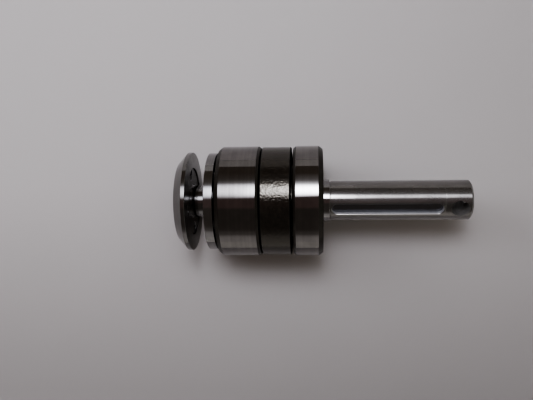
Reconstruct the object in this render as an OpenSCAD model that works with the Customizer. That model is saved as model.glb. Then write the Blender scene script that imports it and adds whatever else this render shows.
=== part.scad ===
// Two-roller stud cam follower with a sprung mushroom button.
// X runs along the follower, from the button at -X to the mounting stem at +X, and +Z is up.
// The origin is on the axis, in the shoulder face that seats against the machine.
// All sizes are in millimetres.

/* [Stem] */
// Diameter of the mounting stem
stem_d = 22.2; // [21.8:0.1:23]
// Length of the stem beyond its shoulder
stem_len = 77.5; // [76:0.5:90]
// Diameter of the shoulder land at the root of the stem
root_d = 23.8; // [23.4:0.1:25]
// Direction of the keyway and the cross hole, in degrees from +Z towards -Y
key_turn = 28; // [0:1:90]
// Width of the keyway
key_w = 6; // [4:0.5:7]
// Depth of the keyway
key_depth = 3; // [2:0.1:3.6]
// Distance of the far end of the keyway from the shoulder
key_end = 61.8; // [40:0.1:62]
// Diameter of the cross hole
cross_d = 9; // [6:0.5:10]
// Distance of the cross hole from the shoulder
cross_x = 70.6; // [70:0.1:71.4]

/* [Rollers] */
// Outside diameter of both rollers
roller_d = 62; // [62:0.5:66]
// Width of the wide front roller
front_w = 23.6; // [23.6:0.1:26]
// Width of the narrow rear roller
rear_w = 16.4; // [16.4:0.1:18]
// Diameter of the journal that carries the inner rings
journal_d = 30; // [29.6:0.1:30.4]
// Diameter of the circle through the ball centres
pitch_d = 46; // [45.9:0.1:46.1]
// Diameter of the balls in the two rows of the front roller
front_ball_d = 7.86; // [7:0.02:7.9]
// Balls in each row of the front roller
front_balls_n = 13; // [8:1:13]
// Diameter of the balls in the rear roller
rear_ball_d = 9.44; // [8:0.02:9.5]
// Balls in the rear roller
rear_balls_n = 9; // [6:1:9]

/* [Centre ring] */
// Outside diameter of the black centre ring
centre_d = 61; // [58:0.5:61.5]
// Width of the black centre ring
centre_w = 16.2; // [12:0.1:18]
// Gap between the centre ring and the front roller
front_gap = 0.5; // [0.4:0.1:2]
// Gap between the centre ring and the rear roller
rear_gap = 1.1; // [0.4:0.1:2]
// Distance from the rear roller's face to the shoulder
root_len = 3.7; // [3.4:0.1:6]

/* [Collar] */
// Diameter of the collar at the front of the stud
collar_d = 55; // [50:0.5:58]
// Thickness of the collar
collar_w = 4.9; // [4.5:0.1:8]
// Gap between the collar and the front roller
collar_gap = 1.2; // [0.8:0.1:2]

/* [Button] */
// Diameter of the mushroom cap
cap_d = 56; // [54:0.5:60]
// Height of the cap from its back face to the top of its dome
cap_h = 9.2; // [9.2:0.1:12]
// Width of the cap's cylindrical rim
rim_w = 2.2; // [1.5:0.1:3]
// Diameter where the cap's bevel meets the dome
dome_d = 44.8; // [42:0.2:48]
// Diameter of the plunger that carries the cap
plunger_d = 18; // [17:0.1:18.2]
// Free space between the cap and the collar with the plunger fully out
button_gap = 9.8; // [9.8:0.1:12]
// Distance between opposite screws of the cap
screw_circle_d = 31.8; // [30:0.1:32]

/* [Hidden] */
$fn = 96;
eps = 0.01;

// Stations along X, counted from the shoulder towards the button
rear_x1 = -root_len;
rear_x0 = rear_x1 - rear_w;
centre_x1 = rear_x0 - rear_gap;
centre_x0 = centre_x1 - centre_w;
front_x1 = centre_x0 - front_gap;
front_x0 = front_x1 - front_w;
collar_x1 = front_x0 - collar_gap;
collar_x0 = collar_x1 - collar_w;
cap_x1 = collar_x0 - button_gap;
cap_x0 = cap_x1 - cap_h;

// Radii
stem_r = stem_d / 2;
root_r = root_d / 2;
roller_r = roller_d / 2;
journal_r = journal_d / 2;
pitch_r = pitch_d / 2;
centre_r = centre_d / 2;
collar_r = collar_d / 2;
cap_r = cap_d / 2;
plunger_r = plunger_d / 2;

// Stem details
stem_chamfer = 1;
root_chamfer = 0.3;
relief_w = 0.4;
relief_depth = 0.3;
scribe_x = 62.7;
scribe_w = 0.6;
scribe_depth = 0.12;
key_start = 1;
centre_hole_r = 1.6;
centre_hole_len = 7;
centre_cone_r = 3.4;
centre_cone_len = 3.1;

// Stud details
edge_chamfer = 0.5;
abutment_r = 18.2;
journal_chamfer = 0.3;
journal_x1 = rear_x1 + 0.2;

// Bearing rings
inner_ring_r = 20.15;
outer_bore_r = 25.9;
seal_seat_r = 27;
seal_w = 0.9;
seal_recess = 0.4;
seal_lip_gap = 0.3;
groove_clear = 0.1;
row_offset = 5.4;
front_mid = (front_x0 + front_x1) / 2;
row_left_x = front_mid - row_offset;
row_right_x = front_mid + row_offset;
rear_row_x = rear_x0 + 7.6;
// Corner cuts as [along the axis, across it]: outboard ones are larger
front_outboard = [2.3, 1.6];
front_inboard = [1.6, 1.2];
rear_outboard = [2.5, 1.8];
rear_inboard = [1.6, 1.2];
ring_corner = [0.6, 0.6];

// The rear inner ring ends short of the roller's face to make room for its snap ring
snap_w = 1.5;
snap_groove_depth = 0.7;
snap_groove_x0 = rear_x1 - 2.5;
snap_groove_x1 = snap_groove_x0 + snap_w + 0.05;
snap_r = 17.4;
snap_gap = 5;
lug_r = 19;
lug_span = 14;
lug_turn = 17;
lug_hole_r = 1;

// Ball cages
cage_r0 = 20.8;
cage_r1 = 25.3;
pocket_clear = 0.2;
cage_web = 0.95;
front_mouth = 2.9;
rear_mouth = 3.3;

// Centre ring
centre_clear = 0.06;
centre_chamfer = [0.5, 0.5];
pocket_r0 = 22.5;
pocket_r1 = 27.4;
pocket_depth = 2;

// Plunger guide inside the stud
seal_pocket_r = 13;
seal_pocket_w = 3;
chamber_r = 12;
bush_len = 25;
bush_x0 = collar_x0 + seal_pocket_w;
bush_x1 = bush_x0 + bush_len;
guide_clear = 0.04;
stop_gap = 0.2;
stop_w = 1.2;
stop_x0 = bush_x1 + stop_gap;
stop_x1 = stop_x0 + stop_w;
stop_groove_r = 8.5;
stop_r = 11.3;
tail_x1 = stop_x1 + 2;
seat_gap = 0.1;
seat_x0 = tail_x1 + seat_gap;
seat_w = 2;
seat_r = 11.5;
pilot_r = 7.6;
pilot_len = 3;
chamber_x1 = -10;

// Return spring
wire_d = 2.2;
coil_r = 9.7;
coil_turns = 5.5;
coil_steps = 24;
wire_sides = 10;
spring_x0 = seat_x0 + seat_w;
spring_len = chamber_x1 - spring_x0;

// Cap and its fixings
flange_inset = 1;
flange_w = 3.6;
flange_r = 18.9;
flange_clear = 0.3;
flange_x1 = cap_x1 - flange_inset;
flange_x0 = flange_x1 - flange_w;
dome_rise = 1.9;
dome_r = (pow(dome_d / 2, 2) + pow(dome_rise, 2)) / (2 * dome_rise);
dome_steps = 12;
rim_chamfer = 0.3;
screw_count = 4;
screw_turn = 19.5;
head_r = 2.75;
head_h = 2;
head_inset = 0.2;
head_clear = 0.2;
screw_r = 1.5;
screw_clear = 0.2;
screw_len = 3.6;
hex_r = 1.45;
hex_depth = 1.1;

// Solid of revolution about X from points [radius, x]
module turned(points) {
    rotate([0, 90, 0]) rotate_extrude() polygon(points);
}

// Round bar or hole along X
module bar(x0, x1, r) {
    translate([x0, 0, 0]) rotate([0, 90, 0]) cylinder(h = x1 - x0, r = r);
}

// Ring between two stations, with a corner cut at the left and right of its outside
module ring(x0, x1, r0, r1, left, right) {
    turned([
        [r0, x0], [r1 - left[1], x0], [r1, x0 + left[0]],
        [r1, x1 - right[0]], [r1 - right[1], x1], [r0, x1]
    ]);
}

// Plain ring with square corners
module plain_ring(x0, x1, r0, r1) {
    turned([[r0, x0], [r1, x0], [r1, x1], [r0, x1]]);
}

// Torus that cuts a ball groove
module ball_groove(x, ball_d) {
    translate([x, 0, 0]) rotate([0, 90, 0]) rotate_extrude()
        translate([pitch_r, 0]) circle(r = ball_d / 2 + groove_clear);
}

// One row of balls
module ball_row(x, r, count) {
    for (i = [0 : count - 1])
        rotate([360 * i / count, 0, 0]) translate([x, 0, pitch_r]) sphere(r = r);
}

// Snap-in cage: web_side is +1 with the closed web to the right, -1 to the left
module cage(x, ball_d, count, mouth, web_side) {
    pocket = ball_d / 2 + pocket_clear;
    closed_x = x + web_side * (pocket + cage_web);
    open_x = x - web_side * mouth;
    difference() {
        plain_ring(min(closed_x, open_x), max(closed_x, open_x), cage_r0, cage_r1);
        for (i = [0 : count - 1])
            rotate([360 * i / count, 0, 0])
                translate([x, 0, cage_r0 - 2]) cylinder(h = cage_r1 - cage_r0 + 3, r = pocket);
    }
}

// Lip seal with a shallow moulded step on its outer face: out_side is +1 for the right, -1 for the left
module bearing_seal(x0, out_side) {
    step_x = out_side > 0 ? x0 + seal_w : x0;
    difference() {
        plain_ring(x0, x0 + seal_w, inner_ring_r + seal_lip_gap, seal_seat_r);
        plain_ring(step_x - 0.25, step_x + 0.25, inner_ring_r + 1.6, seal_seat_r - 1.2);
    }
}

// One of the cap's screw positions, repeated round the axis
module at_screws() {
    for (i = [0 : screw_count - 1])
        rotate([screw_turn + 360 * i / screw_count, 0, 0])
            translate([0, 0, screw_circle_d / 2]) children();
}

// Keyway cutter with round ends
module keyway() {
    floor_z = stem_r - key_depth;
    x0 = key_start + key_w / 2;
    x1 = key_end - key_w / 2;
    rotate([key_turn, 0, 0]) {
        translate([x0, -key_w / 2, floor_z]) cube([x1 - x0, key_w, 2 * key_depth]);
        for (x = [x0, x1])
            translate([x, 0, floor_z]) cylinder(h = 2 * key_depth, r = key_w / 2);
    }
}

// One-piece stud: collar, journal, shoulder land and keyed stem
module stud() {
    color("silver") difference() {
        turned([
            [0, collar_x0], [collar_r - edge_chamfer, collar_x0],
            [collar_r, collar_x0 + edge_chamfer], [collar_r, collar_x1 - edge_chamfer],
            [collar_r - edge_chamfer, collar_x1], [abutment_r, collar_x1],
            [abutment_r, front_x0], [journal_r, front_x0],
            [journal_r, snap_groove_x0], [journal_r - snap_groove_depth, snap_groove_x0],
            [journal_r - snap_groove_depth, snap_groove_x1], [journal_r, snap_groove_x1],
            [journal_r, journal_x1 - journal_chamfer],
            [journal_r - journal_chamfer, journal_x1], [root_r, journal_x1],
            [root_r, -root_chamfer], [root_r - root_chamfer, 0],
            [stem_r - relief_depth, 0], [stem_r - relief_depth, relief_w],
            [stem_r, relief_w], [stem_r, scribe_x - scribe_w / 2],
            [stem_r - scribe_depth, scribe_x], [stem_r, scribe_x + scribe_w / 2],
            [stem_r, stem_len - stem_chamfer], [stem_r - stem_chamfer, stem_len],
            [0, stem_len]
        ]);
        bar(collar_x0 - eps, chamber_x1, chamber_r);
        bar(collar_x0 - eps, bush_x0, seal_pocket_r);
        keyway();
        rotate([key_turn, 0, 0])
            translate([cross_x, 0, -stem_d]) cylinder(h = 2 * stem_d, r = cross_d / 2);
        bar(stem_len - centre_hole_len, stem_len + eps, centre_hole_r);
        turned([[0, stem_len - centre_cone_len], [centre_cone_r, stem_len], [0, stem_len]]);
    }
}

// Bronze bush that the plunger slides in
module guide_bush() {
    color("darkgoldenrod") plain_ring(bush_x0, bush_x1, plunger_r + guide_clear, chamber_r);
}

// Rubber wiper in the mouth of the stud
module plunger_seal() {
    lip_r = plunger_r + seal_lip_gap;
    color("#202020") turned([
        [lip_r, collar_x0 + 0.5], [lip_r + 0.7, collar_x0 + 0.5], [lip_r + 1.3, collar_x0 + 1.2],
        [seal_pocket_r - 0.8, collar_x0 + 1.2], [seal_pocket_r - 0.5, collar_x0 + 0.4],
        [seal_pocket_r, collar_x0 + 0.4], [seal_pocket_r, bush_x0], [lip_r, bush_x0]
    ]);
}

// Height along the coil after a number of turns, with a closed turn at each end
function coil_rise(turns) = lookup(turns, [
    [0, 0], [1, wire_d],
    [coil_turns - 1, spring_len - 2 * wire_d], [coil_turns, spring_len - wire_d]
]);

// Compression spring behind the plunger, swept along its helix
module return_spring() {
    rings = round(coil_turns * coil_steps);
    points = [
        for (i = [0 : rings], k = [0 : wire_sides - 1])
        let (
            a = 360 * coil_turns * i / rings,
            b = 360 * k / wire_sides,
            r = coil_r + wire_d / 2 * cos(b),
            x = spring_x0 + wire_d / 2 + coil_rise(coil_turns * i / rings) + wire_d / 2 * sin(b)
        ) [x, r * cos(a), r * sin(a)]
    ];
    walls = [
        for (i = [0 : rings - 1], k = [0 : wire_sides - 1])
        let (n = (k + 1) % wire_sides, p = i * wire_sides, q = p + wire_sides)
        [p + k, p + n, q + n, q + k]
    ];
    first = [for (k = [wire_sides - 1 : -1 : 0]) k];
    last = [for (k = [0 : wire_sides - 1]) rings * wire_sides + k];
    color("slategray") polyhedron(points, concat(walls, [first, last]));
}

// Inner ring of the wide roller, with two grooves
module front_inner_ring() {
    color("lightgray") difference() {
        ring(front_x0, front_x1, journal_r, inner_ring_r, ring_corner, ring_corner);
        ball_groove(row_left_x, front_ball_d);
        ball_groove(row_right_x, front_ball_d);
    }
}

// Sleeve between the two inner rings, on which the centre ring runs
module inner_spacer() {
    color("gray") plain_ring(front_x1, rear_x0, journal_r, inner_ring_r);
}

// Inner ring of the narrow roller
module rear_inner_ring() {
    color("lightgray") difference() {
        ring(rear_x0, snap_groove_x0, journal_r, inner_ring_r, ring_corner, ring_corner);
        ball_groove(rear_row_x, rear_ball_d);
    }
}

// Snap ring with two eyes that holds both rollers on the journal
module rear_snap_ring() {
    x0 = snap_groove_x0;
    x1 = snap_groove_x0 + snap_w;
    groove_r = journal_r - snap_groove_depth;
    color("dimgray") difference() {
        plain_ring(x0, x1, groove_r, lug_r);
        difference() {
            plain_ring(x0 - 1, x1 + 1, snap_r, lug_r + 1);
            translate([x0 - 2, -lug_span / 2, 0]) cube([snap_w + 4, lug_span, lug_r + 2]);
        }
        translate([x0 - 1, -snap_gap / 2, 0]) cube([snap_w + 2, snap_gap, lug_r + 1]);
        for (side = [-1, 1])
            rotate([side * lug_turn, 0, 0])
                translate([0, 0, (groove_r + lug_r) / 2]) bar(x0 - 1, x1 + 1, lug_hole_r);
    }
}

// Outer ring of the wide roller
module front_outer_ring() {
    color("gainsboro") difference() {
        ring(front_x0, front_x1, outer_bore_r, roller_r, front_outboard, front_inboard);
        ball_groove(row_left_x, front_ball_d);
        ball_groove(row_right_x, front_ball_d);
        bar(front_x0 - eps, front_x0 + seal_recess + seal_w, seal_seat_r);
        bar(front_x1 - seal_recess - seal_w, front_x1 + eps, seal_seat_r);
    }
}

module front_seal_left() {
    color("#202020") bearing_seal(front_x0 + seal_recess, -1);
}

module front_seal_right() {
    color("#202020") bearing_seal(front_x1 - seal_recess - seal_w, 1);
}

module front_cage_left() {
    color("khaki") cage(row_left_x, front_ball_d, front_balls_n, front_mouth, 1);
}

module front_cage_right() {
    color("khaki") cage(row_right_x, front_ball_d, front_balls_n, front_mouth, -1);
}

module front_balls_left() {
    color("white") ball_row(row_left_x, front_ball_d / 2, front_balls_n);
}

module front_balls_right() {
    color("white") ball_row(row_right_x, front_ball_d / 2, front_balls_n);
}

// Black ring between the rollers, relieved on both faces
module centre_ring() {
    bore_r = inner_ring_r + centre_clear;
    color("#2a2826") difference() {
        ring(centre_x0, centre_x1, bore_r, centre_r, centre_chamfer, centre_chamfer);
        plain_ring(centre_x0 - eps, centre_x0 + pocket_depth, pocket_r0, pocket_r1);
        plain_ring(centre_x1 - pocket_depth, centre_x1 + eps, pocket_r0, pocket_r1);
    }
}

// Outer ring of the narrow roller
module rear_outer_ring() {
    color("gainsboro") difference() {
        ring(rear_x0, rear_x1, outer_bore_r, roller_r, rear_inboard, rear_outboard);
        ball_groove(rear_row_x, rear_ball_d);
        bar(rear_x0 - eps, rear_x0 + seal_recess + seal_w, seal_seat_r);
        bar(snap_groove_x0 - seal_w + 0.2, rear_x1 + eps, seal_seat_r);
    }
}

module rear_seal_left() {
    color("#202020") bearing_seal(rear_x0 + seal_recess, -1);
}

module rear_seal_right() {
    color("#202020") bearing_seal(snap_groove_x0 - seal_w + 0.2, 1);
}

module rear_cage() {
    color("khaki") cage(rear_row_x, rear_ball_d, rear_balls_n, rear_mouth, -1);
}

module rear_balls() {
    color("white") ball_row(rear_row_x, rear_ball_d / 2, rear_balls_n);
}

// Cup that carries the plunger's push to the spring
module spring_seat() {
    color("gray") turned([
        [0, seat_x0], [seat_r - 0.3, seat_x0], [seat_r, seat_x0 + 0.3],
        [seat_r, spring_x0], [pilot_r, spring_x0],
        [pilot_r - 0.6, spring_x0 + pilot_len], [0, spring_x0 + pilot_len]
    ]);
}

// Plunger with the flange that the cap is screwed to
module plunger() {
    color("silver") difference() {
        turned([
            [0, flange_x0], [flange_r, flange_x0], [flange_r, flange_x1 - 0.3],
            [flange_r - 0.3, flange_x1], [plunger_r, flange_x1], [plunger_r, stop_x0],
            [stop_groove_r, stop_x0], [stop_groove_r, stop_x1 + 0.05],
            [plunger_r, stop_x1 + 0.05], [plunger_r, tail_x1 - 0.5],
            [plunger_r - 0.5, tail_x1], [0, tail_x1]
        ]);
        at_screws() {
            bar(flange_x1 - head_inset - head_h, flange_x1 + eps, head_r + head_clear);
            bar(flange_x0 - eps, flange_x1, screw_r + screw_clear);
        }
    }
}

// Snap ring that stops the plunger against the end of its bush
module stop_ring() {
    color("dimgray") difference() {
        plain_ring(stop_x0, stop_x1, stop_groove_r, stop_r);
        translate([stop_x0 - 1, -2.5, 0]) cube([stop_w + 2, 5, stop_r + 1]);
    }
}

// Domed cap that takes the end thrust
module wear_cap() {
    dome = [
        for (i = [0 : dome_steps])
        let (r = dome_d / 2 * i / dome_steps)
        [r, cap_x0 + dome_r - sqrt(pow(dome_r, 2) - pow(r, 2))]
    ];
    back = [
        [cap_r, cap_x1 - rim_w], [cap_r, cap_x1 - rim_chamfer],
        [cap_r - rim_chamfer, cap_x1], [0, cap_x1]
    ];
    color("gainsboro") difference() {
        turned(concat(dome, back));
        bar(flange_x0, cap_x1 + eps, flange_r + flange_clear);
        at_screws()
            bar(flange_x1 - head_inset - head_h - screw_len - 0.2, flange_x0 + eps, screw_r);
    }
}

// Socket-head screws from the flange into the cap
module cap_screws() {
    under_head = flange_x1 - head_inset - head_h;
    color("#505050") at_screws() difference() {
        union() {
            bar(under_head, under_head + head_h, head_r);
            bar(under_head - screw_len, under_head, screw_r);
        }
        translate([under_head + head_h - hex_depth, 0, 0]) rotate([0, 90, 0])
            cylinder(h = hex_depth + eps, r = hex_r, $fn = 6);
    }
}

stud();
guide_bush();
plunger_seal();
return_spring();
front_inner_ring();
inner_spacer();
rear_inner_ring();
rear_snap_ring();
front_outer_ring();
front_seal_left();
front_seal_right();
front_cage_left();
front_cage_right();
front_balls_left();
front_balls_right();
centre_ring();
rear_outer_ring();
rear_seal_left();
rear_seal_right();
rear_cage();
rear_balls();
spring_seat();
plunger();
stop_ring();
wear_cap();
cap_screws();
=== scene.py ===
"""Looks of the two-roller cam follower: finished meshes, materials, studio and camera.

Everything is in metres in the row frame: X along the follower's axis, Z up, the origin in the
stem's shoulder face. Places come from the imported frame's boxes. Outlines are written in
millimetres and scaled by MM.
"""
import math

import bmesh
import bpy
from mathutils import Matrix, Vector


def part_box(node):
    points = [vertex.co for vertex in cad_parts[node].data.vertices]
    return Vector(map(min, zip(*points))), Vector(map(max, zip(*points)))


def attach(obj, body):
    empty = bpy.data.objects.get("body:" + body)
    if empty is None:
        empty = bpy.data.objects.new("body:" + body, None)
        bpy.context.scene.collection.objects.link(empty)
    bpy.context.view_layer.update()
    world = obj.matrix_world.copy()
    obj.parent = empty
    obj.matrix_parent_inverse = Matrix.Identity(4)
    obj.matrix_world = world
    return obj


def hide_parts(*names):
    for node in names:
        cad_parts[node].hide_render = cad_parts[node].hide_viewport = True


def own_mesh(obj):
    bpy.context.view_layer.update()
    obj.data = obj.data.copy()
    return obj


MM = 0.001
SEGMENTS = 256

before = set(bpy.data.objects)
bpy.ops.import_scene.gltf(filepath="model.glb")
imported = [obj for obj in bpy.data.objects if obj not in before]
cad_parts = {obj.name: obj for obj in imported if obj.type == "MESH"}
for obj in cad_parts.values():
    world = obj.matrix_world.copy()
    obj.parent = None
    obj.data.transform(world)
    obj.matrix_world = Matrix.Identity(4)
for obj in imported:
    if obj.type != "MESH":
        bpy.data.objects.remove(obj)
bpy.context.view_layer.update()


# ---------------------------------------------------------------- places from the frame

def span(node):
    """(lowest X, highest X, largest radius) of a CAD node, in mm."""
    lo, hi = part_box(node)
    return lo[0] / MM, hi[0] / MM, (hi[2] - lo[2]) / 2 / MM


STUD_X0, STUD_X1, COLLAR_R = span("stud")
FRONT_X0, FRONT_X1, ROLLER_R = span("front_outer_ring")
REAR_X0, REAR_X1, _ = span("rear_outer_ring")
CENTRE_X0, CENTRE_X1, CENTRE_R = span("centre_ring")
CAP_X0, CAP_X1, CAP_R = span("wear_cap")
PLUNGER_X0, PLUNGER_X1, FLANGE_R = span("plunger")
SEAL_X0, SEAL_X1, SEAL_R = span("plunger_seal")
SNAP_X0, SNAP_X1, _ = span("rear_snap_ring")
REAR_SEAL_X0, _, _ = span("rear_seal_right")
SPRING_X0, SPRING_X1, SPRING_R = span("return_spring")
FLOOR_Z = -ROLLER_R * MM

STEM_R = 11.1
ROOT_R = 11.9
JOURNAL_R = 15.0
INNER_RING_R = 20.15
PLUNGER_R = 9.0
KEY_TURN = math.radians(28)
KEY_FLOOR = STEM_R - 3
KEY_WIDTH = 6.0
KEY_X0, KEY_X1 = 1.0, 61.8
SCRIBE_X0, SCRIBE_X, SCRIBE_X1 = 62.4, 62.7, 63
CROSS_HOLE_X = 70.6
CROSS_HOLE_R = 4.5
ROOT_GROOVE = 0.4

# Bearing rows: places of the ball grooves, their radii, and the depth of the seal seats.
FRONT_ROWS = [(FRONT_X0 + FRONT_X1) / 2 - 5.4, (FRONT_X0 + FRONT_X1) / 2 + 5.4]
REAR_ROWS = [REAR_X0 + 7.6]
FRONT_GROOVE_R = 4.03
REAR_GROOVE_R = 4.82
SEAL_SEAT = 1.3


# ---------------------------------------------------------------- mesh tools

def new_object(name, verts, faces, body, slot):
    mesh = bpy.data.meshes.new(name)
    mesh.from_pydata(verts, [], faces)
    mesh.update()
    mesh.validate()
    for face in mesh.polygons:
        face.use_smooth = True
    obj = bpy.data.objects.new(name, mesh)
    bpy.context.scene.collection.objects.link(obj)
    mesh.materials.append(MAT[slot])
    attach(obj, body)
    return obj


def rounded(outline, closed, steps=4):
    """An outline of (x, r, corner radius) with each corner turned into an arc."""
    points = []
    count = len(outline)
    for i, (x, r, fillet) in enumerate(outline):
        here = Vector((x, r))
        if fillet <= 0 or (not closed and i in (0, count - 1)):
            points.append(here)
            continue
        before = Vector(outline[i - 1][:2]) - here
        after = Vector(outline[(i + 1) % count][:2]) - here
        angle = before.angle(after)
        reach = min(fillet / math.tan(angle / 2), before.length / 2, after.length / 2)
        radius = reach * math.tan(angle / 2)
        bisector = (before.normalized() + after.normalized()).normalized()
        centre = here + bisector * (radius / math.sin(angle / 2))
        start = here + before.normalized() * reach - centre
        end = here + after.normalized() * reach - centre
        turn = start.angle_signed(end)
        for k in range(steps + 1):
            part = start.copy()
            part.rotate(Matrix.Rotation(-turn * k / steps, 2))
            points.append(centre + part)
    return points


def turned_mesh(outline, closed, segments=SEGMENTS):
    """Vertices and faces of an outline revolved about X. An open outline starts and ends on the axis."""
    points = rounded(outline, closed)
    verts = []
    faces = []
    rows = []
    for p in points:
        if p.y < 1e-6:
            rows.append([len(verts)])
            verts.append((p.x * MM, 0.0, 0.0))
            continue
        row = []
        for k in range(segments):
            a = 2 * math.pi * (k + 0.5) / segments
            row.append(len(verts))
            verts.append((p.x * MM, -p.y * math.sin(a) * MM, p.y * math.cos(a) * MM))
        rows.append(row)
    pairs = list(zip(rows, rows[1:]))
    if closed:
        pairs.append((rows[-1], rows[0]))
    for a, b in pairs:
        for k in range(segments):
            n = (k + 1) % segments
            if len(a) == 1:
                faces.append((a[0], b[k], b[n]))
            elif len(b) == 1:
                faces.append((a[k], b[0], a[n]))
            else:
                faces.append((a[k], b[k], b[n], a[n]))
    return verts, faces


def fix_normals(obj):
    """Faces point outwards."""
    work = bmesh.new()
    work.from_mesh(obj.data)
    bmesh.ops.recalc_face_normals(work, faces=work.faces)
    work.to_mesh(obj.data)
    work.free()


def steady_normals(obj, sharp_degrees=28):
    """Flat and cylindrical faces keep their own normals beside small fillets, so reflections stay straight."""
    obj.data.set_sharp_from_angle(angle=math.radians(sharp_degrees))
    weighted = obj.modifiers.new("weighted normals", "WEIGHTED_NORMAL")
    weighted.mode = "FACE_AREA"
    weighted.weight = 90
    weighted.keep_sharp = True


def turned(name, outline, body, slot, nodes=(), closed=True, segments=SEGMENTS):
    """A turned piece, which stands for the CAD nodes named."""
    verts, faces = turned_mesh(outline, closed, segments)
    obj = new_object(name, verts, faces, body, slot)
    fix_normals(obj)
    if nodes:
        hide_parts(*nodes)
    return obj


def bands(rings, sides, base=0):
    """Quads between each ring of vertices and the next, for rings that follow one another."""
    faces = []
    for i in range(rings - 1):
        low = base + i * sides
        for k in range(sides):
            n = (k + 1) % sides
            faces.append((low + k, low + n, low + sides + n, low + sides + k))
    return faces


def cutter(verts, faces):
    """A tool for carve(), which uses it up."""
    mesh = bpy.data.meshes.new("cutter")
    mesh.from_pydata(verts, [], faces)
    mesh.update()
    obj = bpy.data.objects.new("cutter", mesh)
    bpy.context.scene.collection.objects.link(obj)
    fix_normals(obj)
    return obj


def bar_cutter(stations, sides=64, turn=0.0, place=(0, 0, 0), along="X"):
    """Round cutter through (distance, radius) stations along X or Z, turned about X."""
    verts = []
    for d, r in stations:
        for k in range(sides):
            a = 2 * math.pi * k / sides
            p = (d, r * math.sin(a), r * math.cos(a))
            if along == "Z":
                p = (r * math.cos(a), r * math.sin(a), d)
            verts.append(p)
    faces = bands(len(stations), sides)
    last = (len(stations) - 1) * sides
    faces.append(tuple(range(sides)))
    faces.append(tuple(last + k for k in reversed(range(sides))))
    spin = Matrix.Rotation(turn, 4, "X")
    verts = [(spin @ (Vector(v) + Vector(place))) * MM for v in verts]
    return cutter(verts, faces)


def carve(obj, cutters):
    """Cuts the cutters out of the piece, in one exact boolean each."""
    for tool in cutters:
        cut = obj.modifiers.new("cut", "BOOLEAN")
        cut.operation = "DIFFERENCE"
        cut.solver = "EXACT"
        cut.object = tool
        bpy.context.view_layer.update()
        shape = obj.evaluated_get(bpy.context.evaluated_depsgraph_get())
        mesh = bpy.data.meshes.new_from_object(shape)
        obj.modifiers.remove(cut)
        old = obj.data
        obj.data = mesh
        mesh.name = obj.name
        bpy.data.meshes.remove(old)
        tool_mesh = tool.data
        bpy.data.objects.remove(tool)
        bpy.data.meshes.remove(tool_mesh)
    for face in obj.data.polygons:
        face.use_smooth = True


def finish_where(obj, material, test):
    """Gives the faces for which test(x, y, z in mm, radius in mm) holds another finish."""
    obj.data.materials.append(MAT[material])
    index = len(obj.data.materials) - 1
    for face in obj.data.polygons:
        x, y, z = face.center / MM
        if test(x, y, z, math.hypot(y, z)):
            face.material_index = index


# ---------------------------------------------------------------- materials

def nodes_of(name):
    mat = bpy.data.materials.new("finish_" + name)
    mat.use_nodes = True
    tree = mat.node_tree
    shader = tree.nodes["Principled BSDF"]
    return mat, tree, shader


def link(tree, source, target):
    tree.links.new(source, target)


def split_xyz(tree, vector):
    """The X, Y and Z outputs of a vector."""
    split = tree.nodes.new("ShaderNodeSeparateXYZ")
    link(tree, vector, split.inputs["Vector"])
    return split.outputs


def math_node(tree, operation, a, b=None):
    node = tree.nodes.new("ShaderNodeMath")
    node.operation = operation
    for socket, value in zip(node.inputs, (a, b)):
        if value is None:
            continue
        if isinstance(value, (int, float)):
            socket.default_value = value
        else:
            link(tree, value, socket)
    return node.outputs[0]


def place_mm(tree, stretch=(1, 1, 1)):
    """Object coordinates in millimetres, each axis multiplied by its stretch."""
    coords = tree.nodes.new("ShaderNodeTexCoord")
    scale = tree.nodes.new("ShaderNodeMapping")
    scale.inputs["Scale"].default_value = [s / MM for s in stretch]
    link(tree, coords.outputs["Object"], scale.inputs["Vector"])
    return scale.outputs["Vector"]


def noise(tree, vector, scale, detail=3.0, rough=0.5):
    node = tree.nodes.new("ShaderNodeTexNoise")
    node.inputs["Scale"].default_value = scale
    node.inputs["Detail"].default_value = detail
    node.inputs["Roughness"].default_value = rough
    link(tree, vector, node.inputs["Vector"])
    return node.outputs["Fac"]


def ramp(tree, value, low, high, out_low, out_high):
    node = tree.nodes.new("ShaderNodeMapRange")
    node.inputs["From Min"].default_value = low
    node.inputs["From Max"].default_value = high
    node.inputs["To Min"].default_value = out_low
    node.inputs["To Max"].default_value = out_high
    link(tree, value, node.inputs["Value"])
    return node.outputs["Result"]


def curve(tree, value, places, heights):
    """Piecewise linear curve through (place, height) points."""
    first, last = places[0], places[-1]
    node = tree.nodes.new("ShaderNodeFloatCurve")
    points = node.mapping.curves[0].points
    while len(points) < len(places):
        points.new(0.5, 0.5)
    for point, place, height in zip(points, places, heights):
        point.location = ((place - first) / (last - first), height)
        point.handle_type = "VECTOR"
    node.mapping.update()
    link(tree, ramp(tree, value, first, last, 0, 1), node.inputs["Value"])
    return node.outputs["Value"]


def mix_colour(tree, value, first, second):
    """From first to second, each a colour or a socket."""
    node = tree.nodes.new("ShaderNodeMix")
    node.data_type = "RGBA"
    link(tree, value, node.inputs["Factor"])
    for socket, colour in ((node.inputs["A"], first), (node.inputs["B"], second)):
        if isinstance(colour, tuple):
            socket.default_value = (*colour, 1)
        else:
            link(tree, colour, socket)
    return node.outputs["Result"]


def bump(tree, height, distance_mm, strength=1.0):
    node = tree.nodes.new("ShaderNodeBump")
    node.inputs["Strength"].default_value = strength
    node.inputs["Distance"].default_value = distance_mm * MM
    link(tree, height, node.inputs["Height"])
    return node.outputs["Normal"]


def radius_mm(tree):
    """Distance from the follower's axis, in millimetres."""
    place = split_xyz(tree, place_mm(tree))
    y2 = math_node(tree, "MULTIPLY", place["Y"], place["Y"])
    z2 = math_node(tree, "MULTIPLY", place["Z"], place["Z"])
    return math_node(tree, "SQRT", math_node(tree, "ADD", y2, z2))


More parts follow.
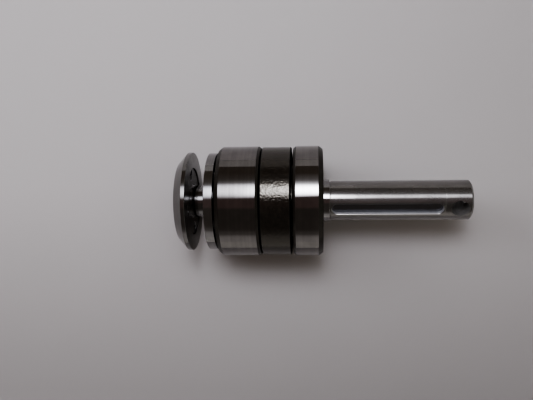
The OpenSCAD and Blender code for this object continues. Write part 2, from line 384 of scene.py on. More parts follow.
def turning_lines(tree, per_mm):
    """Noise that changes only along X and with radius: the trace of a tool or a wheel on a turned face."""
    join = tree.nodes.new("ShaderNodeCombineXYZ")
    link(tree, split_xyz(tree, place_mm(tree))["X"], join.inputs["X"])
    link(tree, radius_mm(tree), join.inputs["Y"])
    return noise(tree, join.outputs["Vector"], per_mm, detail=2.0, rough=0.6)


def steel(name, colour, dark, rough, rough_worn, lines, line_depth, smear=0.1, stretch=(1, 1, 1), streak=0.5):
    """Bare steel: tool lines, smudges, and a roughness that wanders as an oiled, handled surface does.

    stretch draws the smudges out along an axis. streak is how far the tool lines show in the colour.
    """
    mat, tree, shader = nodes_of(name)
    cloud = noise(tree, place_mm(tree, stretch), smear, detail=4.0, rough=0.55)
    fine = noise(tree, place_mm(tree, stretch), 1.4, detail=3.0, rough=0.6)
    marks = turning_lines(tree, lines)
    tone = math_node(tree, "ADD", ramp(tree, cloud, 0.35, 0.65, 0, 1 - streak),
                     ramp(tree, marks, 0.3, 0.7, 0, streak))
    link(tree, mix_colour(tree, tone, colour, dark), shader.inputs["Base Color"])
    wander = math_node(tree, "MULTIPLY", cloud, fine)
    link(tree, ramp(tree, wander, 0.12, 0.4, rough, rough_worn), shader.inputs["Roughness"])
    link(tree, bump(tree, marks, line_depth), shader.inputs["Normal"])
    shader.inputs["Metallic"].default_value = 1.0
    return mat


def ground_steel():
    """Stem: ground lengthwise, so its streaks run along X, under a thin film of oil with a broad soft shine."""
    mat, tree, shader = nodes_of("ground_steel")
    streaks = noise(tree, place_mm(tree, (0.05, 1, 1)), 1.6, detail=3.0, rough=0.6)
    long_smears = noise(tree, place_mm(tree, (0.12, 1, 1)), 0.35, detail=3.0, rough=0.55)
    cloud = noise(tree, place_mm(tree), 0.12, detail=4.0, rough=0.6)
    tone = math_node(tree, "MULTIPLY", long_smears, cloud)
    link(tree, mix_colour(tree, ramp(tree, tone, 0.15, 0.36, 0, 1), (0.26, 0.25, 0.24), (0.19, 0.18, 0.17)),
         shader.inputs["Base Color"])
    link(tree, ramp(tree, long_smears, 0.3, 0.7, 0.08, 0.13), shader.inputs["Roughness"])
    link(tree, bump(tree, streaks, 0.006), shader.inputs["Normal"])
    shader.inputs["Metallic"].default_value = 1.0
    shader.inputs["Coat Weight"].default_value = 1.0
    shader.inputs["Coat Roughness"].default_value = 0.5
    shader.inputs["Coat IOR"].default_value = 1.7
    return mat


def collar_steel():
    """Collar and shoulder land: ground round and polished."""
    return steel("collar_steel", (0.36, 0.352, 0.35), (0.27, 0.263, 0.26), 0.06, 0.1, 1.2, 0.0004, smear=0.15)


def milled_steel():
    """Floor of the keyway: smooth from the cutter, so it mirrors what is beside it."""
    return steel("milled_steel", (0.26, 0.26, 0.28), (0.21, 0.21, 0.225), 0.18, 0.26, 1.5, 0.001, smear=0.5)


def dry(mat):
    """Turns a steel into a rough, unoiled cut that hardly mirrors."""
    mat.node_tree.nodes["Principled BSDF"].inputs["Metallic"].default_value = 0.2
    return mat


def keyway_wall_steel():
    """Walls of the keyway: a drier, paler cut."""
    return dry(steel("keyway_wall_steel", (0.46, 0.46, 0.475), (0.38, 0.38, 0.39), 0.45, 0.55, 1.5, 0.01,
                     smear=0.5))


def hole_steel():
    """Cross hole: drilled, with a dry grey wall."""
    return dry(steel("hole_steel", (0.24, 0.23, 0.22), (0.18, 0.172, 0.165), 0.5, 0.6, 1.5, 0.01, smear=0.5))


def corner_and_gap_shade_steel():
    """Turned corners of the bearing rings, dark from heat treatment; on the inner spacer, painted shade in the gap.
    """
    return steel("corner_and_gap_shade_steel", (0.09, 0.083, 0.074), (0.055, 0.051, 0.045), 0.3, 0.4, 2.0, 0.004, smear=0.3)


def bearing_steel():
    """Superfinished running faces."""
    return steel("bearing_steel", (0.3, 0.286, 0.277), (0.21, 0.2, 0.195), 0.05, 0.09, 0.7, 0.0002, smear=0.12)


def cap_steel():
    """Polished front and rim of the cap."""
    return steel("cap_steel", (0.29, 0.28, 0.275), (0.225, 0.22, 0.215), 0.08, 0.14, 1.6, 0.0006)


def cap_back_steel():
    """Turned back of the cap."""
    return steel("cap_back_steel", (0.26, 0.253, 0.24), (0.2, 0.195, 0.185), 0.28, 0.36, 2.2, 0.004, smear=0.2)


def plunger_steel():
    """Hardened and polished rod."""
    return steel("plunger_steel", (0.28, 0.275, 0.275), (0.24, 0.235, 0.235), 0.07, 0.12, 2.5, 0.0004)


def flange_steel():
    """Turned face of the plunger's sunk flange."""
    return steel("flange_steel", (0.24, 0.233, 0.223), (0.18, 0.175, 0.167), 0.32, 0.4, 2.5, 0.003, smear=0.2)


def ball_steel():
    """Polished balls."""
    return steel("ball_steel", (0.68, 0.68, 0.69), (0.62, 0.62, 0.63), 0.04, 0.08, 1.0, 0.0001)


def spring_steel():
    """Oil-tempered wire."""
    return steel("spring_steel", (0.16, 0.16, 0.17), (0.1, 0.1, 0.11), 0.3, 0.45, 1.0, 0.002)


def screw_steel():
    """Small screws, plain turned steel."""
    return steel("screw_steel", (0.42, 0.41, 0.4), (0.3, 0.29, 0.285), 0.14, 0.22, 3.0, 0.001)


def bronze():
    """Machined bush."""
    return steel("bronze", (0.56, 0.36, 0.15), (0.44, 0.27, 0.11), 0.22, 0.35, 2.5, 0.002)


def black_oxide():
    """Oiled black oxide on turned steel: near black, mottled, with a speckled, slightly warm shine."""
    mat, tree, shader = nodes_of("black_oxide")
    blotch = noise(tree, place_mm(tree), 0.35, detail=6.0, rough=0.65)
    speck = noise(tree, place_mm(tree), 0.75, detail=2.0, rough=0.6)
    both = math_node(tree, "MULTIPLY", blotch, speck)
    link(tree, mix_colour(tree, ramp(tree, both, 0.15, 0.4, 0, 1), (0.01, 0.009, 0.008), (0.026, 0.022, 0.018)),
         shader.inputs["Base Color"])
    link(tree, ramp(tree, both, 0.12, 0.42, 0.13, 0.07), shader.inputs["Roughness"])
    link(tree, bump(tree, speck, 0.13), shader.inputs["Normal"])
    shader.inputs["IOR"].default_value = 1.8
    shader.inputs["Specular Tint"].default_value = (1.0, 0.93, 0.82, 1)
    return mat


def dull_black():
    """The same black on the ring's end faces and in its bore: no shine."""
    mat, tree, shader = nodes_of("dull_black")
    grain = noise(tree, place_mm(tree), 2.0, detail=4.0, rough=0.6)
    link(tree, mix_colour(tree, grain, (0.01, 0.009, 0.008), (0.02, 0.018, 0.016)), shader.inputs["Base Color"])
    link(tree, ramp(tree, grain, 0.3, 0.7, 0.55, 0.7), shader.inputs["Roughness"])
    link(tree, bump(tree, grain, 0.01), shader.inputs["Normal"])
    shader.inputs["Specular IOR Level"].default_value = 0.25
    return mat


def seal_rubber():
    """Moulded nitrile: near black, satin, with a fine grain and a little dust."""
    mat, tree, shader = nodes_of("seal_rubber")
    grain = noise(tree, place_mm(tree), 3.0, detail=5.0, rough=0.6)
    dust = noise(tree, place_mm(tree), 0.3, detail=4.0, rough=0.6)
    link(tree, mix_colour(tree, ramp(tree, dust, 0.45, 0.7, 0, 1), (0.012, 0.012, 0.013), (0.035, 0.034, 0.033)),
         shader.inputs["Base Color"])
    link(tree, ramp(tree, grain, 0.3, 0.7, 0.42, 0.6), shader.inputs["Roughness"])
    link(tree, bump(tree, grain, 0.02), shader.inputs["Normal"])
    return mat


def cage_polymer():
    """Natural nylon: cream, slightly cloudy."""
    mat, tree, shader = nodes_of("cage_polymer")
    cloud = noise(tree, place_mm(tree), 0.4, detail=3.0)
    grain = noise(tree, place_mm(tree), 4.0, detail=3.0)
    link(tree, mix_colour(tree, cloud, (0.7, 0.62, 0.42), (0.6, 0.52, 0.33)), shader.inputs["Base Color"])
    link(tree, ramp(tree, grain, 0.3, 0.7, 0.35, 0.5), shader.inputs["Roughness"])
    link(tree, bump(tree, grain, 0.01), shader.inputs["Normal"])
    shader.inputs["Subsurface Weight"].default_value = 0.1
    return mat


def floor_paint_with_painted_shade():
    """Pale satin worktop with painted shade: darker towards -Y and +X as in the photograph, where light falls off.
    """
    mat, tree, shader = nodes_of("floor_paint_with_painted_shade")
    cloud = noise(tree, place_mm(tree), 0.012, detail=4.0)
    grain = noise(tree, place_mm(tree), 1.5, detail=3.0)
    place = split_xyz(tree, place_mm(tree))
    full = 0.85
    # Painted shade: the colour falls off towards -Y here and towards +X below.
    across = curve(tree, place["Y"], [-300, -160, -120, 10], [1, 0.615, 0.615, full])
    shade = math_node(tree, "MULTIPLY", math_node(tree, "DIVIDE", across, full),
                      ramp(tree, place["X"], -150, 160, 1, 0.86))
    shade = math_node(tree, "ADD", shade, ramp(tree, cloud, 0, 1, -0.02, 0.02))
    link(tree, mix_colour(tree, shade, (0, 0, 0), (0.676, 0.643, 0.631)), shader.inputs["Base Color"])
    link(tree, ramp(tree, grain, 0.3, 0.7, 0.5, 0.6), shader.inputs["Roughness"])
    link(tree, bump(tree, grain, 0.01), shader.inputs["Normal"])
    return mat


MAT = {make.__name__: make() for make in (
    ground_steel, collar_steel, milled_steel, keyway_wall_steel, hole_steel, corner_and_gap_shade_steel, bearing_steel, cap_steel,
    cap_back_steel, plunger_steel, flange_steel, ball_steel, spring_steel, screw_steel, bronze, black_oxide,
    dull_black, seal_rubber, cage_polymer,
)}


# ---------------------------------------------------------------- pieces

def make_stud():
    """Collar, journal, shoulder land and stem in one turned piece, with its keyway and holes cut."""
    bore_r = 12.0
    pocket_r = 13.0
    chamber_x = -10.0
    outline = [
        (chamber_x, 0, 0), (chamber_x, bore_r, 0), (STUD_X0 + 3, bore_r, 0),
        (STUD_X0 + 3, pocket_r, 0), (STUD_X0, pocket_r, 0.3),
        (STUD_X0, COLLAR_R, 0.35), (FRONT_X0 - 1.2, COLLAR_R, 0.35), (FRONT_X0 - 1.2, 18.2, 0.2),
        (FRONT_X0, 18.2, 0.1), (FRONT_X0, JOURNAL_R, 0), (SNAP_X0, JOURNAL_R, 0),
        (SNAP_X0, JOURNAL_R - 0.7, 0), (SNAP_X1 + 0.05, JOURNAL_R - 0.7, 0),
        (SNAP_X1 + 0.05, JOURNAL_R, 0), (REAR_X1 + 0.2, JOURNAL_R, 0.25), (REAR_X1 + 0.2, ROOT_R, 0.1),
        (0, ROOT_R, 0.2), (0, STEM_R - ROOT_GROOVE, 0.1), (0.55, STEM_R - ROOT_GROOVE, 0.1),
        (0.55, STEM_R, 0.08), (SCRIBE_X0, STEM_R, 0), (SCRIBE_X, STEM_R - 0.12, 0), (SCRIBE_X1, STEM_R, 0),
        (STUD_X1 - 1, STEM_R, 0.25), (STUD_X1, STEM_R - 1, 0.25),
        (STUD_X1, 3.4, 0.1), (STUD_X1 - 3.1, 1.6, 0), (STUD_X1 - 7, 1.6, 0), (STUD_X1 - 7, 0, 0),
    ]
    obj = turned("stud_body", outline, "stud", "ground_steel", ["stud"], closed=False)
    carve(obj, [keyway_cutter(), cross_hole_cutter()])
    steady_normals(obj)
    finish_where(obj, "collar_steel", lambda x, y, z, r: x < 0.01)
    finish_where(obj, "milled_steel", lambda x, y, z, r: in_keyway(x, y, z)
                 and key_height(y, z) < KEY_FLOOR + 0.05)
    finish_where(obj, "keyway_wall_steel", lambda x, y, z, r: in_keyway(x, y, z)
                 and key_height(y, z) > KEY_FLOOR + 0.05 and r < STEM_R - 0.5)
    finish_where(obj, "hole_steel", in_cross_hole)
    return obj


def key_side(y, z):
    """Distance from the plane through the axis that holds the keyway's middle."""
    return y * math.cos(KEY_TURN) + z * math.sin(KEY_TURN)


def key_height(y, z):
    """Distance from the axis along the keyway's depth."""
    return -y * math.sin(KEY_TURN) + z * math.cos(KEY_TURN)


def in_keyway(x, y, z):
    """Faces of the keyway, below the stem's surface."""
    return (KEY_X0 - 0.1 < x < KEY_X1 + 0.1 and key_height(y, z) > 0
            and abs(key_side(y, z)) < KEY_WIDTH / 2 + 0.1 and math.hypot(y, z) < STEM_R - 0.03)


def in_cross_hole(x, y, z, radius):
    """Faces of the cross hole and its flared mouths, below the stem's surface."""
    return math.hypot(x - CROSS_HOLE_X, key_side(y, z)) < CROSS_HOLE_R + 0.9 and radius < STEM_R - 0.03


def keyway_cutter():
    """Closed keyway with round ends and a fine broken edge at the stem's surface."""
    half_width = KEY_WIDTH / 2
    arc = 24
    lip = 0.25
    above = 1.0
    flare = 1.28
    levels = [(None, 0), (-lip, 0), (above, (above + lip) * flare)]
    ring = 2 * (arc + 1)
    verts = []
    for rise, grown in levels:
        for centre, start in ((KEY_X1 - half_width, -90), (KEY_X0 + half_width, 90)):
            for k in range(arc + 1):
                a = math.radians(start + 180 * k / arc)
                surface = math.sqrt(STEM_R ** 2 - (half_width * math.sin(a)) ** 2)
                z = KEY_FLOOR if rise is None else surface + rise
                half = half_width + grown
                verts.append((centre + half * math.cos(a), half * math.sin(a), z))
    faces = [tuple(reversed(range(ring))), tuple(2 * ring + k for k in range(ring))]
    faces += bands(len(levels), ring)
    spin = Matrix.Rotation(KEY_TURN, 4, "X")
    return cutter([(spin @ Vector(v)) * MM for v in verts], faces)


def cross_hole_cutter():
    """Drill that goes right through the stem and opens out towards both mouths."""
    mouth_r = CROSS_HOLE_R + 0.35 + 1.2
    stations = [
        (-STEM_R - 2, mouth_r), (-STEM_R + 1.2, CROSS_HOLE_R), (STEM_R - 1.2, CROSS_HOLE_R),
        (STEM_R + 2, mouth_r),
    ]
    return bar_cutter(stations, turn=KEY_TURN, place=(CROSS_HOLE_X, 0, 0), along="Z")


def ball_track(x0, x1, row_xs, groove_r, shoulder_r, pitch_r, inside):
    """Stations across a ring's track surface with a round groove at each row."""
    points = [(x0, shoulder_r, 0)]
    sign = -1 if inside else 1
    half = math.sqrt(groove_r ** 2 - (abs(shoulder_r - pitch_r)) ** 2)
    for row in row_xs:
        steps = 10
        start = math.asin(half / groove_r)
        for k in range(steps + 1):
            a = -start + 2 * start * k / steps
            points.append((row + groove_r * math.sin(a), pitch_r + sign * groove_r * math.cos(a), 0))
    points.append((x1, shoulder_r, 0))
    return points


def make_outer_ring(name, x0, x1, left, right, rows, groove_r, seats, body):
    """Roller ring: cut corners outside, grooves and seal seats inside."""
    outboard = x0 if left[0] > right[0] else x1
    seat_r = 27.0
    bore_r = 25.9
    track = ball_track(x0 + seats[0], x1 - seats[1], rows, groove_r, bore_r, 23.0, inside=False)
    outline = [
        (x0, seat_r, 0.15), (x0, ROLLER_R - left[1], 0.8), (x0 + left[0], ROLLER_R, 0.5),
        (x1 - right[0], ROLLER_R, 0.5), (x1, ROLLER_R - right[1], 0.8), (x1, seat_r, 0.15),
        (x1 - seats[1], seat_r, 0),
    ]
    outline += list(reversed(track))
    outline.append((x0 + seats[0], seat_r, 0))
    obj = turned(name + "_body", outline, body, "bearing_steel", [name])
    steady_normals(obj)
    finish_where(obj, "corner_and_gap_shade_steel", lambda x, y, z, r: seat_r + 0.2 < r < ROLLER_R - 0.03
                 and abs(x - outboard) > 0.01)
    return obj


def make_centre_ring():
    """Black ring between the rollers, recessed in both faces."""
    bore_r = INNER_RING_R + 0.06
    outline = [
        (CENTRE_X0, bore_r, 0.1), (CENTRE_X0, 22.5, 0.1), (CENTRE_X0 + 2, 22.5, 0.3),
        (CENTRE_X0 + 2, 27.4, 0.3), (CENTRE_X0, 27.4, 0.1), (CENTRE_X0, CENTRE_R - 0.5, 0.15),
        (CENTRE_X0 + 0.5, CENTRE_R, 0.2), (CENTRE_X1 - 0.5, CENTRE_R, 0.2),
        (CENTRE_X1, CENTRE_R - 0.5, 0.15), (CENTRE_X1, 27.4, 0.1), (CENTRE_X1 - 2, 27.4, 0.3),
        (CENTRE_X1 - 2, 22.5, 0.3), (CENTRE_X1, 22.5, 0.1), (CENTRE_X1, bore_r, 0.1),
    ]
    obj = turned("centre_ring_body", outline, "centre_ring", "black_oxide", ["centre_ring"])
    steady_normals(obj)
    finish_where(obj, "dull_black", lambda x, y, z, r: r < CENTRE_R - 0.1)
    return obj


def make_cap():
    """Domed cap with a pocket for the plunger's flange."""
    dome_r = 22.4
    rise = 1.9
    sphere = (dome_r ** 2 + rise ** 2) / (2 * rise)
    steps = 14
    pocket_r = FLANGE_R + 0.12
    outline = []
    for k in range(steps + 1):
        r = dome_r * k / steps
        outline.append((CAP_X0 + sphere - math.sqrt(sphere ** 2 - r ** 2), r, 1.2 if k == steps else 0))
    outline += [
        (CAP_X1 - 2.2, CAP_R, 0.25), (CAP_X1, CAP_R, 0.3), (CAP_X1, pocket_r, 0.15),
        (PLUNGER_X0, pocket_r, 0), (PLUNGER_X0, 0, 0),
    ]
    obj = turned("wear_cap_body", outline, "button", "cap_steel", ["wear_cap"], closed=False)
    steady_normals(obj)
    finish_where(obj, "cap_back_steel", lambda x, y, z, r: x > CAP_X1 - 0.05)
    return obj


def screw_places(radius=15.9, count=4, first=19.5):
    """(turn about the axis, distance from it) of each screw in the cap's back."""
    return [(math.radians(first + 360 * k / count), radius) for k in range(count)]


def make_plunger():
    """Polished rod with the sunk flange behind the cap."""
    flange_x1 = CAP_X1 - 0.8
    stop_x0, stop_x1, _ = span("stop_ring")
    outline = [
        (PLUNGER_X0, 0, 0), (PLUNGER_X0, FLANGE_R, 0.2), (flange_x1, FLANGE_R, 0.3),
        (flange_x1, PLUNGER_R + 0.6, 0), (flange_x1 + 0.15, PLUNGER_R, 0.1), (stop_x0, PLUNGER_R, 0),
        (stop_x0, 8.5, 0), (stop_x1 + 0.05, 8.5, 0), (stop_x1 + 0.05, PLUNGER_R, 0),
        (PLUNGER_X1, PLUNGER_R, 0.5), (PLUNGER_X1, 0, 0),
    ]
    obj = turned("plunger_body", outline, "button", "plunger_steel", ["plunger"], closed=False)
    head_r = 2.95
    sink = 2.4
    edge = 0.42
    cutters = []
    for turn, radius in screw_places():
        stations = [
            (PLUNGER_X0 - 1, 1.7), (flange_x1 - sink, 1.7), (flange_x1 - sink, head_r),
            (flange_x1 - edge, head_r), (flange_x1 - 0.28, head_r + 0.03), (flange_x1 - 0.15, head_r + 0.1),
            (flange_x1 - 0.06, head_r + 0.2), (flange_x1 - 0.01, head_r + 0.34), (flange_x1 + 0.5, head_r + 2.2),
        ]
        cutters.append(bar_cutter(stations, sides=40, turn=turn, place=(0, 0, radius)))
    carve(obj, cutters)
    steady_normals(obj)
    finish_where(obj, "flange_steel", lambda x, y, z, r: flange_x1 - sink - 0.1 < x < flange_x1 - edge
                 or abs(x - flange_x1) < 0.005)
    return obj


def make_cap_screws():
    """Four button-head socket screws in one piece, sunk in the plunger's flange."""
    top = CAP_X1 - 1.15
    seat = CAP_X1 - 3.2
    verts = []
    faces = []
    sides = 36
    socket_r = 1.15
    shank_r = 1.5
    crown_r = 2.55
    crown_x = seat + 0.75
    profile = [(seat - 3.6, shank_r - 0.2), (seat - 3.3, shank_r), (seat, shank_r), (seat, 2.5), (seat + 0.5, 2.6),
               (crown_x, crown_r)]
    for k in range(1, 7):
        r = crown_r - (crown_r - socket_r - 0.12) * k / 6
        profile.append((top - (top - crown_x) * ((r - socket_r) / (crown_r - socket_r)) ** 2, r))
    for turn, radius in screw_places():
        spin = Matrix.Rotation(turn, 4, "X")
        base = len(verts)
        for x, r in profile:
            for k in range(sides):
                a = 2 * math.pi * k / sides
                verts.append(spin @ Vector((x, r * math.sin(a), radius + r * math.cos(a))) * MM)
        for x in (top, top - 0.9):
            for k in range(sides):
                a = 2 * math.pi * k / sides
                flat = socket_r * math.cos(math.pi / 6) / math.cos((a % (math.pi / 3)) - math.pi / 6)
                verts.append(spin @ Vector((x, flat * math.sin(a), radius + flat * math.cos(a))) * MM)
        rows = len(profile)
        faces += bands(rows + 2, sides, base)
        faces.append(tuple(base + k for k in reversed(range(sides))))
        faces.append(tuple(base + (rows + 1) * sides + k for k in range(sides)))
    obj = new_object("cap_screws_body", verts, faces, "button", "screw_steel")
    fix_normals(obj)
    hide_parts("cap_screws")
    steady_normals(obj)
    return obj


def make_plunger_seal():
    """Wiper seal in the stud's mouth, with its lip just clear of the rod."""
    lip_r = PLUNGER_R + 0.3
    outline = [
        (SEAL_X1, lip_r, 0), (SEAL_X0 + 0.1, lip_r, 0.15), (SEAL_X0 + 0.1, lip_r + 0.7, 0.2),
        (SEAL_X0 + 0.8, lip_r + 1.3, 0.3), (SEAL_X0 + 0.8, SEAL_R - 0.8, 0.3),
        (SEAL_X0, SEAL_R - 0.5, 0.15), (SEAL_X0, SEAL_R, 0.1), (SEAL_X1, SEAL_R, 0),
    ]
    obj = turned("plunger_seal_body", outline, "stud", "seal_rubber", ["plunger_seal"])
    steady_normals(obj)
    return obj


def make_bearing_seal(node, body, outer_side):
    """Moulded seal with a stiffening step and a raised lip on the side that shows."""
    x0, x1, r1 = span(node)
    r0 = INNER_RING_R + 0.3
    face = x1 if outer_side > 0 else x0
    back = x0 if outer_side > 0 else x1
    step = face - 0.25 * outer_side
    outline = [
        (back, r0, 0.05), (face, r0, 0.12), (face, r0 + 0.5, 0.12), (step, r0 + 1.2, 0.1),
        (step, r0 + 2.2, 0.1), (face, r0 + 2.5, 0.15), (face, r1 - 1.9, 0.15),
        (step, r1 - 1.5, 0.1), (step, r1 - 0.9, 0.1), (face, r1 - 0.6, 0.12), (face, r1, 0.1),
        (back, r1, 0.05),
    ]
    obj = turned(node + "_body", outline, body, "seal_rubber", [node])
    steady_normals(obj)
    return obj


def make_spring():
    """Return spring with closed, ground ends, swept along its helix."""
    wire_r = 1.1
    coil_r = SPRING_R - wire_r
    length = SPRING_X1 - SPRING_X0
    turns = 5.5
    steps = int(turns * 40)
    sides = 16

    def rise(t):
        wire = 2 * wire_r
        if t < 1:
            return wire * t
        if t > turns - 1:
            return length - wire - wire * (turns - t)
        return wire + (length - 3 * wire) * (t - 1) / (turns - 2)

    verts = []
    for i in range(steps + 1):
        t = turns * i / steps
        a = 2 * math.pi * t
        for k in range(sides):
            b = 2 * math.pi * k / sides
            r = coil_r + wire_r * math.cos(b)
            x = SPRING_X0 + wire_r + rise(t) + wire_r * math.sin(b)
            verts.append((x * MM, r * math.cos(a) * MM, r * math.sin(a) * MM))
    faces = bands(steps + 1, sides)
    faces.append(tuple(reversed(range(sides))))
    faces.append(tuple(steps * sides + k for k in range(sides)))
    obj = new_object("return_spring_body", verts, faces, "stud", "spring_steel")
    fix_normals(obj)
    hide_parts("return_spring")
    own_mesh(obj)
    return obj


def dress(node, material):
    """Gives a CAD node that stays its finished material."""
    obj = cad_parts[node]
    obj.data.materials.clear()
    obj.data.materials.append(MAT[material])


make_stud()
make_outer_ring("front_outer_ring", FRONT_X0, FRONT_X1, (2.3, 1.6), (1.6, 1.2),
                FRONT_ROWS, FRONT_GROOVE_R, (SEAL_SEAT, SEAL_SEAT), "front_roller")
make_outer_ring("rear_outer_ring", REAR_X0, REAR_X1, (1.6, 1.2), (2.5, 1.8),
                REAR_ROWS, REAR_GROOVE_R, (SEAL_SEAT, REAR_X1 - REAR_SEAL_X0), "rear_roller")
make_centre_ring()
make_cap()
make_plunger()
make_cap_screws()
make_plunger_seal()
make_bearing_seal("front_seal_left", "front_roller", -1)
make_bearing_seal("front_seal_right", "front_roller", 1)
make_bearing_seal("rear_seal_left", "rear_roller", -1)
make_bearing_seal("rear_seal_right", "rear_roller", 1)
make_spring()
for node, material in {
    "guide_bush": "bronze",
    "front_inner_ring": "bearing_steel",
    # The spacer's dark finish is painted shade where it shows in the gap between the rings.
    "inner_spacer": "corner_and_gap_shade_steel",
    "rear_inner_ring": "bearing_steel",
    "rear_snap_ring": "spring_steel",
    "front_cage_left": "cage_polymer",
    "front_cage_right": "cage_polymer",
    "rear_cage": "cage_polymer",
    "front_balls_left": "ball_steel",
    "front_balls_right": "ball_steel",
    "rear_balls": "ball_steel",
    "spring_seat": "ground_steel",
    "stop_ring": "spring_steel",
}.items():
    dress(node, material)


# ---------------------------------------------------------------- studio

PANEL_HEIGHT = 0.9
PANEL_RADIANCE = 13.0
PANEL_COLOUR = (0.96, 0.985, 1.07, 1)

# (degrees from the vertical, brightness) across the ceiling panel and (X, brightness) along it. Set to
# follow how the photographed highlight fades on the rollers and along the stem.
PANEL_ACROSS = [(4, 0), (7, 0.2), (9, 0.4), (12, 0.7), (15, 0.88), (19, 1), (25, 1), (28, 0.86), (31, 0.56),
                (34, 0.2), (36, 0.1), (41, 0.03), (45, 0.015), (58, 0)]
PANEL_ALONG = [(-0.42, 0.15), (-0.225, 0.22), (-0.167, 0.25), (-0.11, 0.55), (-0.08, 0.8), (-0.02, 1), (0.03, 0.9),
               (0.08, 0.3), (0.12, 0.2), (0.175, 0.2), (0.3, 0.15), (0.42, 0.1)]


def set_up(name, verts, face, material, lamp=False):
    """A flat stage object. A lamp lights the follower and isn't seen by the camera."""
    mesh = bpy.data.meshes.new(name)
    mesh.from_pydata(verts, [], [face])
    obj = bpy.data.objects.new(name, mesh)
    bpy.context.scene.collection.objects.link(obj)
    mesh.materials.append(material)
    obj.visible_camera = not lamp
    return obj


def glow_nodes(name):
    """An empty material with an emission and an output node."""
    mat = bpy.data.materials.new(name)
    mat.use_nodes = True
    tree = mat.node_tree
    tree.nodes.clear()
    return mat, tree, tree.nodes.new("ShaderNodeEmission"), tree.nodes.new("ShaderNodeOutputMaterial")


def even_glow(name, colour, strength):
    mat, tree, emit, out = glow_nodes(name)
    emit.inputs["Color"].default_value = colour
    emit.inputs["Strength"].default_value = strength
    link(tree, emit.outputs["Emission"], out.inputs["Surface"])
    return mat


def make_floor():
    """Round pale worktop, under the rollers."""
    size = 0.8
    sides = 96
    turns = [2 * math.pi * k / sides for k in range(sides)]
    verts = [(size * math.cos(a), 0.14 + size * math.sin(a), FLOOR_Z) for a in turns]
    set_up("floor", verts, tuple(range(sides)), floor_paint_with_painted_shade())


def panel_light():
    """Emission that is brightest 19 to 25 degrees off the vertical and fades outwards, and towards both ends."""
    mat, tree, emit, out = glow_nodes("panel_light")
    place = split_xyz(tree, tree.nodes.new("ShaderNodeTexCoord").outputs["Object"])
    angle = math_node(tree, "ARCTAN2", place["Y"], place["Z"])

    # Towards +X the panel's near edge moves outwards and its far edge a little inwards.
    shift = math_node(tree, "MINIMUM", ramp(tree, place["X"], -0.157, 0.843, 0, 0.6), 0.1)
    near = ramp(tree, angle, 0, 0.5, 1, 0)
    far = math_node(tree, "MULTIPLY", ramp(tree, place["X"], -0.157, -0.02, -0.02, 0.02),
                    ramp(tree, angle, 0.35, 0.5, 0, 1))
    nearer = math_node(tree, "SUBTRACT", angle, math_node(tree, "MULTIPLY", shift, near))
    angle = math_node(tree, "ADD", nearer, far)

    across = curve(tree, angle, [math.radians(d) for d, _ in PANEL_ACROSS], [v for _, v in PANEL_ACROSS])
    along = curve(tree, place["X"], [x for x, _ in PANEL_ALONG], [v for _, v in PANEL_ALONG])
    both = math_node(tree, "MULTIPLY", across, along)
    emit.inputs["Color"].default_value = PANEL_COLOUR
    link(tree, math_node(tree, "MULTIPLY", both, PANEL_RADIANCE), emit.inputs["Strength"])
    add = tree.nodes.new("ShaderNodeAddShader")
    link(tree, emit.outputs["Emission"], add.inputs[0])
    link(tree, tree.nodes.new("ShaderNodeBsdfTransparent").outputs["BSDF"], add.inputs[1])
    link(tree, add.outputs["Shader"], out.inputs["Surface"])
    return mat


def make_panel():
    """Ceiling panel on the +Y side: its edges give the rollers' bright band."""
    near, far = (PANEL_HEIGHT * math.tan(math.radians(PANEL_ACROSS[i][0])) for i in (0, -1))
    left, right = PANEL_ALONG[0][0], PANEL_ALONG[-1][0]
    verts = [(left, near, PANEL_HEIGHT), (right, near, PANEL_HEIGHT), (right, far, PANEL_HEIGHT),
             (left, far, PANEL_HEIGHT)]
    set_up("ceiling_panel", verts, (3, 2, 1, 0), panel_light(), lamp=True)


def make_side_panel():
    """Second, weaker panel on the -X side: it lifts the left of the floor and softens the shadows."""
    middle = Vector((-0.62, 0.3, 0.62))
    half = 0.16
    facing = (-middle).to_track_quat("Z", "Y")
    verts = [middle + facing @ Vector((x * half, y * half, 0)) for x, y in ((-1, -1), (1, -1), (1, 1), (-1, 1))]
    set_up("side_panel", verts, (0, 1, 2, 3), even_glow("side_panel_light", PANEL_COLOUR, 3.5), lamp=True)


def make_reflection_card():
    """Pale card on the floor just out of the picture, which shows only as a reflection low on the rollers."""
    left, right, near, far = -0.45, 0.45, -0.13, -0.7
    height = FLOOR_Z + 0.0015
    verts = [(left, near, height), (left, far, height), (right, far, height), (right, near, height)]
    card = set_up("reflection_card", verts, (0, 1, 2, 3), even_glow("reflection_card", (1.0, 0.96, 0.93, 1), 0.46),
                  lamp=True)
    card.visible_shadow = False
    card.visible_diffuse = False


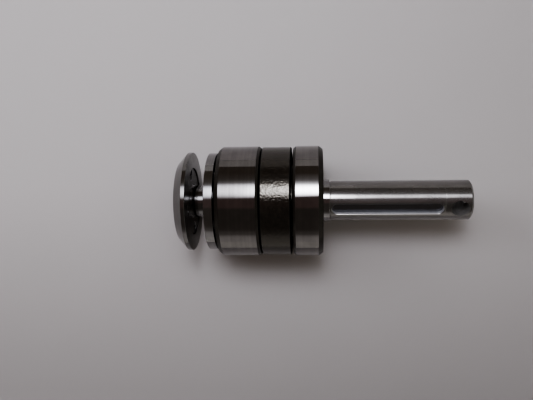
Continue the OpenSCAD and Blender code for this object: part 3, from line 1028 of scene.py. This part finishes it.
def make_room():
    """Dark room with pale walls low down. The camera sees plain grey instead; only light and reflections see it."""
    world = bpy.data.worlds.new("room")
    bpy.context.scene.world = world
    world.use_nodes = True
    tree = world.node_tree
    shade = tree.nodes["Background"]
    way = split_xyz(tree, tree.nodes.new("ShaderNodeTexCoord").outputs["Generated"])
    overhead = mix_colour(tree, ramp(tree, way["Y"], -0.3, -0.22, 0, 1), (0.1, 0.088, 0.08), (0.16, 0.118, 0.112))
    dark = mix_colour(tree, ramp(tree, way["Y"], 0.1, 0.6, 0, 1), overhead, (0.12, 0.1, 0.085))
    fill = mix_colour(tree, ramp(tree, way["X"], 0.3, 0.65, 0, 1), dark, (0.3, 0.305, 0.275))

    # The wall reaches higher on the +Y side. On the -Y side it fades out upwards.
    top = ramp(tree, way["Y"], -0.5, 0.5, 0, 0.245)
    wall = ramp(tree, math_node(tree, "SUBTRACT", way["Z"], top), 0, 0.012, 1, 0)
    low = curve(tree, way["Z"], [0, 0.12, 0.21, 0.29, 0.38, 0.46, 0.54], [1, 0.95, 0.72, 0.25, 0.18, 0.03, 0])
    low = math_node(tree, "MULTIPLY", low, ramp(tree, way["Y"], -0.6, 0.1, 1, 0))
    room = mix_colour(tree, math_node(tree, "MAXIMUM", wall, low), fill, (0.42, 0.4, 0.395))
    seen = mix_colour(tree, tree.nodes.new("ShaderNodeLightPath").outputs["Is Camera Ray"], room,
                      (0.46, 0.455, 0.465))
    link(tree, seen, shade.inputs["Color"])


def make_camera():
    """Looks down at the follower from a hand-held height. Place, angles and lens are fitted to the photograph."""
    lens_mm = 41.03
    place = (-0.0092, -0.0001, 0.34565)
    tilt, pan, roll = 0.0012, 0.07653, -0.00569
    data = bpy.data.cameras.new("camera")
    data.lens = lens_mm
    data.sensor_width = 36.0
    data.clip_start = 0.01
    cam = bpy.data.objects.new("camera", data)
    cam.location = place
    cam.rotation_euler = (tilt, pan, roll)
    bpy.context.scene.collection.objects.link(cam)
    bpy.context.scene.camera = cam


make_floor()
make_panel()
make_side_panel()
make_reflection_card()
make_room()
make_camera()
bpy.context.scene.view_settings.view_transform = "AgX"
bpy.context.scene.view_settings.look = "AgX - High Contrast"
